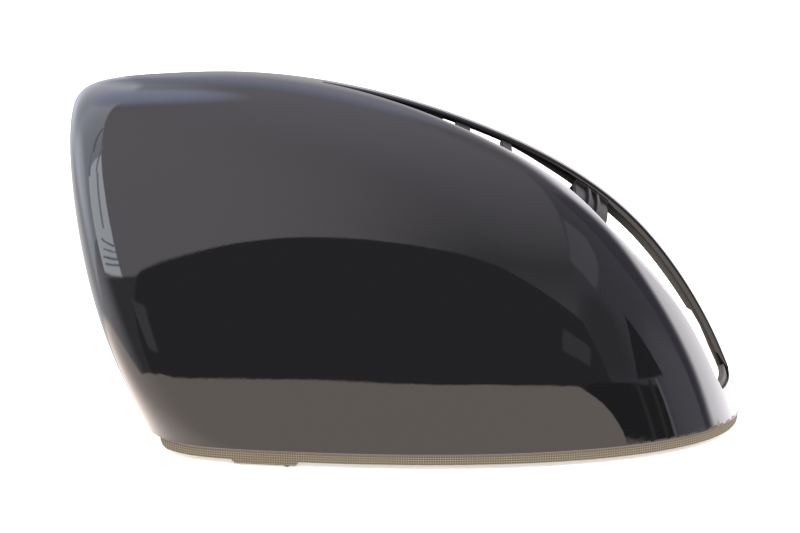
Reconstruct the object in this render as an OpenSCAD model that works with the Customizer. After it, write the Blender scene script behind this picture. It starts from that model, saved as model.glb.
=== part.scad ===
// Wing mirror cover: one glossy moulding, open at the rear and below.
// X runs along the cover to its outboard tip, Y from the face to the rear, Z up.
// The origin is at the centre of the base, under the middle of the cover.

/* [Body] */
// Overall width
cover_w = 250; // [220:1:280]
// Height of the painted bowl above the lip
cover_h = 124; // [105:1:140]
// Depth of the rear rim behind the face
cover_d = 81.5; // [74:0.5:94]
// Depth of the inboard side at its foot
side_d = 45.5; // [38:0.5:60]
// Wall thickness
wall = 2.5; // [2:0.1:3]
// Crown radius of the face, seen from above
crown_r = 550; // [440:10:900]

/* [Indicator slot] */
// Depth of the strip between the slot and the rear rim
strip_w = 6; // [5:0.5:8]
// Widest opening of the slot
slot_w = 35; // [24:1:36]
// Height of the strip's inner flange where it is highest, from the painted surface
flange_h = 5.4; // [4.8:0.1:6.5]
// Thickness of the flange
flange_t = 1.6; // [1.2:0.1:2]
// Set-back of the flange from the strip's front edge
flange_back = 1.2; // [0.8:0.1:1.6]
// Reach of the ledge that the lens rests on, along the slot's front edge
ledge_w = 1.5; // [1:0.1:2.5]

/* [Lower lip] */
// Height of the grained lip below the painted edge
lip_h = 3.6; // [2.5:0.1:5]
// Set-back of the lip from the painted surface
lip_back = 0.9; // [0.5:0.1:1.1]
// Thickness of the lip
lip_t = 1.4; // [1:0.1:1.5]
// Length of the locating tab on the lip
tab_w = 24; // [16:1:30]
// Drop of the tab below the lip
tab_h = 1.3; // [0.8:0.1:2]
// Distance of the tab's middle from the cover's middle, towards the inboard side
tab_x = 51; // [40:1:60]
// Height of the moulding gate's mark below the tab
gate_h = 0.6; // [0.3:0.1:0.8]

/* [Fixings] */
// Width of each snap hook
hook_w = 12; // [8:1:16]
// Length of each snap hook's tongue
hook_l = 16; // [12:1:18]
// Thickness of each tongue
hook_t = 2; // [1.6:0.1:2.4]
// Diameter of the two locating pins
pin_d = 5; // [4:0.5:6]
// Length of the straight part of each locating pin
pin_l = 22; // [16:1:26]
// Diameter of the two screw bosses
boss_d = 8; // [7:0.5:10]
// Pilot bore for the indicator's self-tapping screws
pilot_d = 2.8; // [2.4:0.1:3.2]
// Depth of each pilot bore
pilot_l = 14; // [10:1:16]

/* [Hidden] */

// Outline of the rear rim, seen from the front: shares of the width and of the
// height, from the inboard foot over the top to the outboard tip
outline = [[0.113, 0], [0.068, 0.162], [0.016, 0.473], [-0.006, 0.857], [0.01, 0.979], [0.138, 0.995],
    [0.276, 1.008], [0.471, 0.946], [0.684, 0.79], [0.85, 0.574], [0.963, 0.221], [1, 0]];
// Opening of the slot along its length, as shares of its widest opening
slot_taper = [0.02, 0.149, 0.384, 0.542, 0.694, 0.987, 0.959, 0.84, 0.832, 0.79];
// Slot's ends, as shares of the way along the outline
slot_from = 0.59;
slot_to = 0.96;
// Share of the outline over which the inboard side gets shallower towards its foot
side_share = 0.45;
// Foot of the face's middle line and its crown line, outboard of the middle as shares of the width
pole_share = -0.133;
crown_share = 0.137;
// Powers of the level lines across and up the face, and of the roll at the edge
side_power = 5.93;
tip_power = 2.56;
rise_power = 1.9;
roll_power = 4.07;
// Middle and half length of the change from side_power to tip_power along the outline
turn_mid = 0.58;
turn_half = 0.465;
// Depth behind the rim at which the rolled edge would run straight back
roll_more = 15.8;
roll_d = cover_d + roll_more;
pole_x = pole_share * cover_w;
crown_x = crown_share * cover_w;
// How deep one piece is sunk into the wall that carries it
sink = 1.2;
// Root of the ledge behind the slot's front edge, and its rise inside the wall
ledge_root = 3;
ledge_rise = 0.8;
// Height of the flange as shares of flange_h, by place along the outline, with the step near its end
flange_line = [[0.708, 0.48], [0.723, 0.6], [0.745, 0.78], [0.769, 0.93], [0.8, 1], [0.86, 0.97],
    [0.891, 0.91], [0.894, 0.73], [0.908, 0.69], [0.93, 0.77], [0.966, 0.7]];
// Share of the outline by which plate and ledge start ahead of the slot
edge_shift = 0.004;
// End of the plate that closes the slot's narrow part, and its distances inside the surface
plate_to = 0.6705;
plate_n = [1.9, 3.5];
// Webs across the slot: share along the outline, width, and distances inside the surface
webs = [[0.6838, 5.7, 1.9, 3.9], [0.7131, 4.1, 1.9, 3.9], [0.957, 2.4, 1.4, 3.9]];
// Clip plate across the slot and its two ribs, in the same terms
clip = [[0.779, 15.3, 3.2, 4.8], [0.7755, 1.3, 1.9, 7], [0.7827, 1.3, 1.9, 7]];
// Steps along a web, along each bar of the slot, along a stretch of the flange and along the lip
web_steps = 4;
bar_steps = 28;
flange_steps = 3;
lip_steps = 12;
// Distance from the rim at which the lip ends, and the radius of its ends
lip_end = 0.6;
end_round = 3;
// Place of the gate's mark as a share of the tab's length, and its half length
gate_at = 0.825;
gate_w = 1.1;
// Gap between the wall and a tongue, distance of a tongue's end from the rim, and its lead-in
hook_gap = 2;
hook_in = 1;
lead = 0.6;
// Rear and front of a hook's foot on the wall, ahead of the tongue's length
hook_foot = [5, 11];
// Bends of the tongue's outer and inner sides into the foot, in the same terms
hook_bend = [1, 3];
// Length and height of a hook's barb
barb_l = 4;
barb_h = 1.6;
// Hooks along the outline
hook_at = [0.08, 0.17, 0.37, 0.46, 0.55];
// Pins and bosses: share along the outline and share of the way up the face
pin_at = [[0.42, 0.28], [0.7, 0.12]];
boss_at = [[0.62, 0.5], [0.83, 0.4]];
// Solid part of a boss below its bore, and the bore's run past the boss
boss_floor = 3;
bore_over = 1;
boss_l = pilot_l + boss_floor;
// Widening and height of a post's foot, and thickness of the discs it runs between
foot_flare = 1.5;
foot_rise = 6;
foot_disc = 0.5;
// Sides of a foot, a post and a bore
foot_sides = 32;
post_sides = 64;
bore_sides = 48;
// Cells along the outline before, along and after the slot
cells = [44, 36, 4];
// Rows across the strip, the slot and the face
strip_rows = 1;
slot_rows = 3;
face_rows = 19;

// Uniform cubic B-spline that starts and ends on its first and last points
function padded(p) = concat([2 * p[0] - p[1]], p, [2 * p[len(p) - 1] - p[len(p) - 2]]);
function cubic(q, f) = (q[0] * pow(1 - f, 3) + q[1] * (3 * pow(f, 3) - 6 * pow(f, 2) + 4)
    + q[2] * (-3 * pow(f, 3) + 3 * pow(f, 2) + 3 * f + 1) + q[3] * pow(f, 3)) / 6;
function curve(p, f) =
    let (q = padded(p), spans = len(p) - 1, g = min(max(f, 0), 1) * spans, k = min(floor(g), spans - 1))
    cubic([for (i = [0:3]) q[k + i]], g - k);
function ease(f) = pow(f, 3) * (f * (6 * f - 15) + 10);

// Rear rim in the XZ plane, fitted to the overall width and height
raw_rim = [for (i = [0:300]) curve(outline, i / 300)];
raw_lo = min([for (p = raw_rim) p.x]);
raw_hi = max([for (p = raw_rim) p.x]);
raw_top = max([for (p = raw_rim) p.y]);
function rim(u) =
    let (p = curve(outline, u))
    [((p.x - raw_lo) / (raw_hi - raw_lo) - 0.5) * cover_w, p.y / raw_top * cover_h];
function rim_depth(u) = cover_d - (cover_d - side_d) * pow(max(0, 1 - u / side_share), 2);

// Face of the bowl: u runs along the rim, t from 0 at the pole to 1 at the rim
function crown(x) = pow(x - crown_x, 2) / (2 * crown_r);
function across(u) =
    side_power + (tip_power - side_power) * ease(min(max((u - turn_mid) / (2 * turn_half) + 0.5, 0), 1));
function level(u, d) = 1 - pow(1 - (rim_depth(u) - d - crown(rim(u).x)) / roll_d, roll_power);
function bowl(u, t) =
    let (r = rim(u), x = pole_x + (r.x - pole_x) * pow(t, 1 / across(u)))
    [x, crown(x) + roll_d * (1 - pow(1 - level(u, 0) * t, 1 / roll_power)), r.y * pow(t, 1 / rise_power)];
// Share t that lies a depth d ahead of the rim
function reach(u, d) = level(u, d) / level(u, 0);
function inward(u, t) =
    let (e = 0.0005, a = bowl(u + e, t) - bowl(u - e, t), b = bowl(u, t + e) - bowl(u, max(t - e, e / 8)),
        n = cross(b, a))
    n / norm(n);
// Point a depth d ahead of the rim and a distance n inside the painted surface
function inside(u, d, n) = let (t = reach(u, d)) bowl(u, t) + n * inward(u, t);

function slot_share(u) = min(max((u - slot_from) / (slot_to - slot_from), 0), 1);
function slot_front(u) = strip_w + slot_w * curve(slot_taper, slot_share(u));

// Stations along the rim, with cell edges on the slot's ends
stations = concat(
    [for (i = [0:cells[0] - 1]) slot_from * i / cells[0]],
    [for (i = [0:cells[1] - 1]) slot_from + (slot_to - slot_from) * i / cells[1]],
    [for (i = [0:cells[2]]) slot_to + (1 - slot_to) * i / cells[2]]);
last = len(stations) - 1;
slot_row = strip_rows + slot_rows;
rows = slot_row + face_rows;
function row_share(u, j) =
    j <= strip_rows ? reach(u, strip_w * j / strip_rows) :
    j <= slot_row ? reach(u, strip_w + (slot_front(u) - strip_w) * (j - strip_rows) / slot_rows) :
    reach(u, slot_front(u)) * pow(sin(90 * (rows - j) / face_rows), 3);

face_grid = [for (u = stations) [for (j = [0:rows - 1]) bowl(u, row_share(u, j))]];
pole = bowl(0.5, 0);
// The inner grid ends flush with the outer one at the rim and along the foot
function inner_point(i, j) =
    let (u = stations[i], p = face_grid[i][j] + wall * inward(u, row_share(u, j)))
    [p.x, j == 0 ? face_grid[i][0].y : p.y, i == 0 || i == last ? 0 : p.z];
back_grid = [for (i = [0:last]) [for (j = [0:rows - 1]) inner_point(i, j)]];

face_y = min([for (j = [0:rows - 1]) min(face_grid[0][j].y, face_grid[last][j].y)]);
place = [0, -(face_y + cover_d) / 2, lip_h + tab_h + gate_h];

function pair(a, b, c, d) = [[a, b, c], [a, c, d]];
function flat(l) = [for (a = l) for (b = a) b];

// Closed loops of points joined into one closed tube
module tube(loops) {
    n = len(loops[0]);
    m = len(loops);
    sides = flat([for (i = [0:m - 2]) for (k = [0:n - 1])
        pair(i * n + k, i * n + (k + 1) % n, (i + 1) * n + (k + 1) % n, (i + 1) * n + k)]);
    caps = [[for (k = [n - 1:-1:0]) k], [for (k = [0:n - 1]) (m - 1) * n + k]];
    polyhedron(flat(loops), concat(sides, caps));
}
// Bar along the rim: corners(u) gives depth ahead of the rim and distance inside the surface
module rim_bar(us, corners) {
    tube([for (u = us) [for (c = corners(u)) inside(u, c[0], c[1])]]);
}
// Web across the slot at u: from the flange to the ledge, w wide, between distances inside the surface
module web(u, w, from, to) {
    du = w / 2 / norm((bowl(u + 0.001, 1) - bowl(u - 0.001, 1)) / 0.002);
    function corners(d) = [inside(u - du, d, from), inside(u + du, d, from), inside(u + du, d, to),
        inside(u - du, d, to)];
    start = strip_w - flange_back - flange_t / 2;
    end = slot_front(u) + ledge_root / 2;
    tube([for (k = [0:web_steps]) corners(start + (end - start) * k / web_steps)]);
}

// Painted bowl with its slot, as one thin shell
module shell() {
    side = rows * (last + 1) + 1;
    function at(s, i, j) = j == rows ? s * side + side - 1 : s * side + i * rows + j;
    function cell(s, i, j) =
        let (q = [at(s, i, j), at(s, i, j + 1), at(s, i + 1, j + 1), at(s, i + 1, j)],
            f = j == rows - 1 ? [[q[0], q[1], q[3]]] : pair(q[0], q[1], q[2], q[3]))
        s == 1 ? f : [for (g = f) [g[2], g[1], g[0]]];
    function edge(i, j, k, l) = pair(at(0, i, j), at(0, k, l), at(1, k, l), at(1, i, j));
    slot_cells = [cells[0], cells[0] + cells[1]];
    faces = concat(
        [for (s = [0, 1]) for (i = [0:last - 1]) for (j = [0:rows - 1])
            if (i < slot_cells[0] || i >= slot_cells[1] || j < strip_rows || j >= slot_row) cell(s, i, j)],
        [for (i = [0:last - 1]) edge(i + 1, 0, i, 0)],
        [for (j = [0:rows - 1]) edge(0, j, 0, j + 1)],
        [for (j = [0:rows - 1]) edge(last, j + 1, last, j)],
        [for (i = [slot_cells[0]:slot_cells[1] - 1]) edge(i, strip_rows, i + 1, strip_rows)],
        [for (i = [slot_cells[0]:slot_cells[1] - 1]) edge(i + 1, slot_row, i, slot_row)],
        [for (j = [strip_rows:slot_row - 1]) edge(slot_cells[0], j + 1, slot_cells[0], j)],
        [for (j = [strip_rows:slot_row - 1]) edge(slot_cells[1], j, slot_cells[1], j + 1)]);
    polyhedron(concat(flat(face_grid), [pole], flat(back_grid), [pole + [0, wall, 0]]), flat(faces));
}

// Foot line of the face, seen from below, and its inward normal
function foot_end(x) = x < pole_x ? 0 : 1;
function foot_y(x) =
    let (u = foot_end(x), t = pow((x - pole_x) / (rim(u).x - pole_x), across(u)))
    bowl(u, t).y;
function foot_point(x, n, z) =
    let (e = 0.01, v = [foot_y(x - e) - foot_y(x + e), 2 * e])
    [x + n * v.x / norm(v), foot_y(x) + n * v.y / norm(v), z];

// Grained lip under the painted edge, with the locating tab and the gate's mark on it
module lower_lip() {
    ends = [rim(0).x + lip_end, rim(1).x - lip_end];
    tab = [-tab_x - tab_w / 2, -tab_x + tab_w / 2];
    gate = tab[0] + gate_at * tab_w;
    xs = concat(
        [for (k = [0:lip_steps - 1]) ends[0] + (tab[0] - ends[0]) * (1 - cos(90 * k / lip_steps))],
        [tab[0], tab[0] + tab_h, -tab_x, gate - gate_w, gate, gate + gate_w, tab[1] - tab_h, tab[1]],
        [for (k = [1:2 * lip_steps]) tab[1] + (ends[1] - tab[1]) * sin(45 * k / lip_steps)]);
    function end_rise(x) =
        let (s = max(end_round - min(x - ends[0], ends[1] - x), 0))
        end_round - sqrt(pow(end_round, 2) - s * s);
    function low(x) = end_rise(x) - lip_h - min(max(min(x - tab[0], tab[1] - x), 0), tab_h)
        - gate_h * max(0, 1 - abs(x - gate) / gate_w);
    tube([for (x = xs) [foot_point(x, lip_back, sink), foot_point(x, lip_back + lip_t, sink),
        foot_point(x, lip_back + lip_t, low(x)), foot_point(x, lip_back, low(x))]]);
}

// Flange that stiffens the strip, ledge that the lens rests on, and plate over the slot's narrow part
module slot_edges() {
    d = strip_w - flange_back;
    ends = len(flange_line) - 1;
    flange_us = concat([for (k = [0:ends - 1]) for (i = [0:flange_steps - 1])
            flange_line[k][0] + (flange_line[k + 1][0] - flange_line[k][0]) * i / flange_steps],
        [flange_line[ends][0]]);
    rim_bar(flange_us, function(u) let (h = flange_h * lookup(u, flange_line))
            [[d, sink], [d - flange_t, sink], [d - flange_t, h], [d, h]]);
    start = slot_from - edge_shift;
    ledge_us = [for (i = [0:bar_steps]) start + (slot_to - slot_from) * i / bar_steps];
    rim_bar(ledge_us, function(u) let (f = slot_front(u), g = min(ledge_w, (f - strip_w) / 2))
            [[f + ledge_root, wall / 2], [f - g, wall / 2], [f - g, wall + ledge_rise],
            [f + ledge_root, wall + ledge_rise]]);
    plate_us = [for (i = [0:2 * flange_steps]) start + (plate_to - start) * i / (2 * flange_steps)];
    rim_bar(plate_us, function(u) let (f = slot_front(u) + ledge_root / 2)
            [[f, plate_n[0]], [d, plate_n[0]], [d, plate_n[1]], [f, plate_n[1]]]);
}

// Webs that tie the strip to the body, and the clip plate with its two ribs
module slot_webs() {
    for (w = concat(webs, clip)) web(w[0], w[1], w[2], w[3]);
}

// Snap hook at u: a tongue that runs to the rear, with its barb inward
module snap_hook(u) {
    r = rim(u);
    v = inward(u, 1);
    n = [v.x, v.z] / norm([v.x, v.z]);
    // Point inside the wall a depth d ahead of the rim: distance from the rim inward, and rearward
    function root(d) =
        let (p = inside(u, d, wall / 2))
        [(p.x - r.x) * n.x + (p.z - r.y) * n.y, p.y - rim_depth(u)];
    front = root(hook_l + hook_foot[1]);
    back = root(hook_l + hook_foot[0]);
    low = root(hook_l).x + wall / 2 + hook_gap;
    high = low + hook_t;
    translate([r.x, rim_depth(u), r.y]) rotate([0, atan2(-n.y, n.x), 0])
        translate([0, 0, -hook_w / 2]) linear_extrude(hook_w)
            polygon([front, [high, -hook_l - hook_bend[1]], [high, -hook_in - barb_l],
                [high + barb_h, -hook_in - barb_l], [high, -hook_in], [low + lead, -hook_in],
                [low, -hook_in - lead], [low, -hook_l - hook_bend[0]], back]);
}

// Round foot from the wall up to a post at share t of u, with the post's straight part behind it
module post(at, d, l) {
    p = bowl(at[0], at[1]);
    n = inward(at[0], at[1]);
    hull() {
        translate(p + n * wall / 2) rotate([0, acos(n.z), atan2(n.y, n.x)])
            cylinder(h = foot_disc, d = d + 2 * foot_flare, $fn = foot_sides);
        translate(p + [0, foot_rise, 0]) rotate([-90, 0, 0]) cylinder(h = foot_disc, d = d, $fn = foot_sides);
    }
    translate(p + [0, foot_rise, 0]) rotate([-90, 0, 0]) cylinder(h = l, d = d, $fn = post_sides);
}

module screw_boss(at) {
    difference() {
        post(at, boss_d, boss_l);
        translate(bowl(at[0], at[1]) + [0, foot_rise + boss_l - pilot_l, 0]) rotate([-90, 0, 0])
            cylinder(h = pilot_l + bore_over, d = pilot_d, $fn = bore_sides);
    }
}

module mirror_cover() {
    color("#131316") translate(place) {
        shell();
        lower_lip();
        slot_edges();
        slot_webs();
        for (u = hook_at) snap_hook(u);
        for (at = pin_at) post(at, pin_d, pin_l);
        for (at = boss_at) screw_boss(at);
    }
}

mirror_cover();
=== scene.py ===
"""Wing mirror cover: black lacquered moulding with an indicator slot and a grained lower lip.

Lengths inside the shape functions are millimetres, in the cover's own frame: X outboard from the
middle, Y back from the face, Z up from the painted lower edge.
"""

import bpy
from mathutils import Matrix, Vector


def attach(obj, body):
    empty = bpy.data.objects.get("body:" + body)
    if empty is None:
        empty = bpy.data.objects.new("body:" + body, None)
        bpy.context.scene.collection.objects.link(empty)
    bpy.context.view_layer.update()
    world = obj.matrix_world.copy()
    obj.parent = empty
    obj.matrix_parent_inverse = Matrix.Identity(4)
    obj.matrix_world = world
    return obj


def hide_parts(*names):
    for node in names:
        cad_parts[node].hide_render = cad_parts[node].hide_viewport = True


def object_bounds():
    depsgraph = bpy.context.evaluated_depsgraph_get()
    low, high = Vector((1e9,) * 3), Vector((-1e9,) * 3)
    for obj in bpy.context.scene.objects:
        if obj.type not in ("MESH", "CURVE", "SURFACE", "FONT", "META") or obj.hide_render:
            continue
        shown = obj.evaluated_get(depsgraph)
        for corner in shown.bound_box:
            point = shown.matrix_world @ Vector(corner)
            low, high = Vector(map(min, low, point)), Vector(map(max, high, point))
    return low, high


bl_info = {
    "name": "Wing mirror cover",
    "version": (1, 0, 0),
    "blender": (4, 5, 0),
    "location": "3D View > Sidebar > Mirror cover",
    "description": "Builds the painted cover, its lip, slot edges and fixings, and a plain studio",
    "category": "Add Mesh",
}

import math

import bmesh
import bpy
import numpy as np
from bpy.props import FloatProperty, FloatVectorProperty, IntProperty, PointerProperty, StringProperty
from mathutils import Matrix, Vector

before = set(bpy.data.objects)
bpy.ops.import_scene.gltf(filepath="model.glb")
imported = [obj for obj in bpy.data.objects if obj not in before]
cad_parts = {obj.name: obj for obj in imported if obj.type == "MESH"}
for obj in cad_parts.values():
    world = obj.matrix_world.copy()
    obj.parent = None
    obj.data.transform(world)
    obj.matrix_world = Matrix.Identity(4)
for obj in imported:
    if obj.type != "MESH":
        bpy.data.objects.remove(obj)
CAD_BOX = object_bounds()
NODE = "mirror_cover"
BODY = "root"

# Outline of the rear rim as shares of width and height, from the inboard foot over the top to the tip
OUTLINE = np.array([
    (0.113, 0), (0.068, 0.162), (0.016, 0.473), (-0.006, 0.857), (0.01, 0.979), (0.138, 0.995),
    (0.276, 1.008), (0.471, 0.946), (0.684, 0.79), (0.85, 0.574), (0.963, 0.221), (1, 0)])
# Opening of the slot along its length, as shares of its widest opening
SLOT_TAPER = np.array([0.02, 0.149, 0.384, 0.542, 0.694, 0.987, 0.959, 0.84, 0.832, 0.79])
SLOT_FROM, SLOT_TO, PLATE_TO = 0.59, 0.96, 0.6705
# Height of the flange as shares of its greatest height, by place along the outline
FLANGE_LINE = np.array([
    (0.708, 0.48), (0.723, 0.6), (0.745, 0.78), (0.769, 0.93), (0.8, 1), (0.86, 0.97), (0.891, 0.91),
    (0.894, 0.73), (0.908, 0.69), (0.93, 0.77), (0.966, 0.7)])


# ---------------------------------------------------------------- sizes and colours


def length(name, description, default):
    return FloatProperty(name=name, description=description, default=default / 1000, unit="LENGTH", precision=5)


class COVER_PG_body(bpy.types.PropertyGroup):
    """Sizes of the painted bowl"""

    width: length("Width", "Overall width of the cover", 250)
    height: length("Height", "Height of the painted bowl above the lip", 124)
    depth: length("Depth", "Depth of the rear rim behind the face", 81.5)
    side_depth: length("Side depth", "Depth of the inboard side at its foot", 45.5)
    wall: length("Wall", "Wall thickness", 2.5)
    crown: length("Crown radius", "Crown radius of the face, seen from above", 550)
    edge: length("Edge radius", "Rounding of the painted edges", 0.6)
    base: length("Base", "Height of the painted edge above the floor", 5.5)


class COVER_PG_slot(bpy.types.PropertyGroup):
    """Sizes of the indicator slot and the lip"""

    strip: length("Strip", "Depth of the strip between the slot and the rear rim", 6)
    opening: length("Opening", "Widest opening of the slot", 35)
    flange: length("Flange", "Greatest height of the strip's inner flange from the painted surface", 5.4)
    flange_wall: length("Flange wall", "Thickness of the flange", 1.6)
    flange_back: length("Flange set-back", "Set-back of the flange from the strip's front edge", 1.2)
    ledge: length("Ledge", "Reach of the lens ledge into the slot", 1.5)
    lip: length("Lip", "Height of the grained lip below the painted edge", 3.6)
    lip_back: length("Lip set-back", "Set-back of the lip from the painted surface", 0.9)
    lip_wall: length("Lip wall", "Thickness of the lip", 1.4)
    tab: length("Tab", "Drop of the locating tab below the lip", 1.3)
    tab_length: length("Tab length", "Length of the locating tab", 24)
    tab_x: length("Tab place", "Distance of the tab's middle from the cover's middle, inboard", 51)
    gate: length("Gate mark", "Height of the moulding gate's mark below the tab", 0.6)


class COVER_PG_fixings(bpy.types.PropertyGroup):
    """Sizes of the hooks, pins and screw bosses"""

    hook_width: length("Hook width", "Width of each snap hook", 12)
    hook_length: length("Hook length", "Length of each snap hook's tongue", 16)
    hook_wall: length("Hook wall", "Thickness of each tongue", 2)
    pin: length("Pin", "Diameter of the locating pins", 5)
    pin_length: length("Pin length", "Length of each pin's straight part", 22)
    boss: length("Boss", "Diameter of the screw bosses", 8)
    pilot: length("Pilot", "Diameter of the pilot bores", 2.8)
    pilot_depth: length("Pilot depth", "Depth of the pilot bores", 14)


class COVER_PG_look(bpy.types.PropertyGroup):
    """Colours of the finishes"""

    lacquer: StringProperty(name="Lacquer", description="Colour of the black lacquer", default="#050506")
    # The bare colour and the next one are the two ends of the painted light and shade on the flange and webs: bare near
    # the tip, the darker one away from it. The darker one is also the inside's own colour
    bare: StringProperty(name="Bare plastic", description="Colour of the unpainted plastic", default="#4C4A47")
    shade_and_dark_abs: StringProperty(name="Paint mist", description="Colour of the plastic that the spray reaches", default="#1F1F20")
    # The lip's own dark grey, partly tinted warm as painted light: the tint stands in for warm light bounced up from
    # the floor
    lip: StringProperty(name="Lip", description="Colour of the grained lip", default="#5B5448")
    floor: StringProperty(name="Floor", description="Colour of the floor", default="#F2EEEA")


# ---------------------------------------------------------------- shape of the bowl


def spline(points, f):
    """Uniform cubic B-spline that starts and ends on its first and last points."""
    p = np.concatenate([[2 * points[0] - points[1]], points, [2 * points[-1] - points[-2]]])
    spans = len(points) - 1
    g = np.clip(f, 0, 1) * spans
    k = np.minimum(np.floor(g).astype(int), spans - 1)
    f = g - k
    if points.ndim > 1:
        f = f[..., None]
    return (p[k] * (1 - f) ** 3 + p[k + 1] * (3 * f**3 - 6 * f**2 + 4)
            + p[k + 2] * (-3 * f**3 + 3 * f**2 + 3 * f + 1) + p[k + 3] * f**3) / 6


class Bowl:
    """The painted surface: u runs along the rim, t from 0 at the pole to 1 at the rim."""

    side_power, tip_power, rise, roll = 5.93, 2.56, 1.9, 4.07
    turn_mid, turn_half, side_share = 0.58, 0.465, 0.45
    face_roll, strip_roll = 1.8, 1.2

    def __init__(self, body, slot):
        mm = 1000
        self.w, self.h, self.d = body.width * mm, body.height * mm, body.depth * mm
        self.side, self.wall, self.crown_r = body.side_depth * mm, body.wall * mm, body.crown * mm
        self.edge, self.base = body.edge * mm, body.base * mm
        self.strip, self.opening = slot.strip * mm, slot.opening * mm
        self.roll_d = self.d + 15.8
        self.pole_x, self.crown_x = -0.133 * self.w, 0.137 * self.w
        raw = spline(OUTLINE, np.linspace(0, 1, 301))
        self.lo, self.hi, self.top = raw[:, 0].min(), raw[:, 0].max(), raw[:, 1].max()
        front = [self.surface(np.full(400, u), np.linspace(1e-5, 1, 400))[:, 1].min() for u in (0.0, 1.0)]
        cad_lo, cad_hi = CAD_BOX
        self.shift = (cad_hi[1] + cad_lo[1]) * mm / 2 - (min(front) + self.d) / 2

    def rim(self, u):
        p = spline(OUTLINE, u)
        return ((p[..., 0] - self.lo) / (self.hi - self.lo) - 0.5) * self.w, p[..., 1] / self.top * self.h

    def rim_depth(self, u):
        return self.d - (self.d - self.side) * np.maximum(0, 1 - u / self.side_share) ** 2

    def crown(self, x):
        return (x - self.crown_x) ** 2 / (2 * self.crown_r)

    def across(self, u):
        f = np.clip((u - self.turn_mid) / (2 * self.turn_half) + 0.5, 0, 1)
        return self.side_power + (self.tip_power - self.side_power) * f**3 * (f * (6 * f - 15) + 10)

    def level(self, u, d):
        return 1 - (1 - (self.rim_depth(u) - d - self.crown(self.rim(u)[0])) / self.roll_d) ** self.roll

    def reach(self, u, d):
        """Share t that lies a depth d ahead of the rim."""
        return self.level(u, d) / self.level(u, 0)

    def surface(self, u, t):
        rx, rz = self.rim(u)
        x = self.pole_x + (rx - self.pole_x) * t ** (1 / self.across(u))
        y = self.crown(x) + self.roll_d * (1 - (1 - self.level(u, 0) * t) ** (1 / self.roll))
        return np.stack([x, y, rz * t ** (1 / self.rise)], -1)

    def inward(self, u, t):
        e = 2e-4
        t = np.maximum(t, 1e-14)
        a = self.surface(np.minimum(u + e, 1), t) - self.surface(np.maximum(u - e, 0), t)
        b = self.surface(u, t) - self.surface(u, t * (1 - 1e-3))
        n = np.cross(b, a)
        return n / np.linalg.norm(n, axis=-1, keepdims=True)

    def inside(self, u, d, n):
        """Point a depth d ahead of the rim and a distance n inside the painted surface."""
        t = self.reach(u, d)
        return self.surface(u, t) + n * self.inward(u, t)

    def slot_front(self, u):
        share = np.clip((u - SLOT_FROM) / (SLOT_TO - SLOT_FROM), 0, 1)
        return self.strip + self.opening * spline(SLOT_TAPER, share)

    def roll_at(self, u, most):
        """Radius with which the paint turns into the slot: the most along it, the edge's own at both ends."""
        share = (u - SLOT_FROM) / (SLOT_TO - SLOT_FROM)
        f = np.clip(np.minimum(share / 0.15, (1 - share) / 0.05), 0, 1)
        return self.edge + (most - self.edge) * f * f * (3 - 2 * f)

    def pace(self, u):
        """Millimetres along the rim for each unit of u."""
        e = 1e-3
        a = self.surface(np.minimum(u + e, 1), np.ones_like(u)) - self.surface(np.maximum(u - e, 0), np.ones_like(u))
        return np.linalg.norm(a, axis=-1) / (2 * e)

    def placed(self, points):
        """The cover's own frame in millimetres to the shared frame in metres."""
        return (np.asarray(points, float) + (0, self.shift, self.base)) / 1000


# ---------------------------------------------------------------- mesh helpers


def finish_mesh(name, points, faces, marks=None, materials=(), sharp=32, normals=None):
    """Mesh object at the origin, faces outward, smooth but for edges sharper than the angle.

    Points with a normal that isn't zero are shaded by it on the faces marked 0.
    """
    mesh = bpy.data.meshes.new(name)
    mesh.from_pydata([tuple(p) for p in points], [], [tuple(f) for f in faces])
    if marks is not None:
        mesh.polygons.foreach_set("material_index", np.array(marks, np.int32))
    if normals is not None:
        mesh.attributes.new("true_normal", "FLOAT_VECTOR", "POINT").data.foreach_set("vector", np.ravel(normals))
    bm = bmesh.new()
    bm.from_mesh(mesh)
    bmesh.ops.remove_doubles(bm, verts=bm.verts, dist=1e-7)
    bmesh.ops.recalc_face_normals(bm, faces=bm.faces)
    bm.to_mesh(mesh)
    bm.free()
    obj = bpy.data.objects.new(name, mesh)
    bpy.context.scene.collection.objects.link(obj)
    for m in materials:
        mesh.materials.append(m)
    mesh.shade_smooth()
    mesh.set_sharp_from_angle(angle=math.radians(sharp))
    if normals is not None:
        shade_by_surface(mesh)
    return obj


def shade_by_surface(mesh):
    """Turns the stored point normals into corner normals, so that reflections don't show the facets."""
    held = mesh.attributes["true_normal"]
    at_point = np.zeros(len(mesh.vertices) * 3)
    held.data.foreach_get("vector", at_point)
    corner, total, mark = (np.zeros(n, np.int32) for n in (len(mesh.loops), len(mesh.polygons), len(mesh.polygons)))
    mesh.loops.foreach_get("vertex_index", corner)
    mesh.polygons.foreach_get("loop_total", total)
    mesh.polygons.foreach_get("material_index", mark)
    at_corner = at_point.reshape(-1, 3)[corner]
    at_corner[np.repeat(mark, total) != 0] = 0
    mesh.attributes.remove(held)
    mesh.normals_split_custom_set(at_corner)


def settle(obj):
    """Applies what modifiers are left and gives the piece its body, hiding the CAD node that it stands for."""
    depsgraph = bpy.context.evaluated_depsgraph_get()
    mesh = bpy.data.meshes.new_from_object(obj.evaluated_get(depsgraph))
    old = obj.data
    obj.modifiers.clear()
    obj.data = mesh
    mesh.name = obj.name
    if old.users == 0:
        bpy.data.meshes.remove(old)
    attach(obj, BODY)
    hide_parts(NODE)
    return obj


def quads(a, b):
    """Faces between two rows of vertex numbers."""
    return [(a[k], a[k + 1], b[k + 1], b[k]) for k in range(len(a) - 1)]


def arc_steps(n):
    """Depth and sink, as shares of the edge radius, along a quarter round from the face inward."""
    a = np.linspace(0, math.pi / 2, n + 1)
    return 1 - np.sin(a), 1 - np.cos(a)


# ---------------------------------------------------------------- painted shell


ROLL_STEPS = 6


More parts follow.
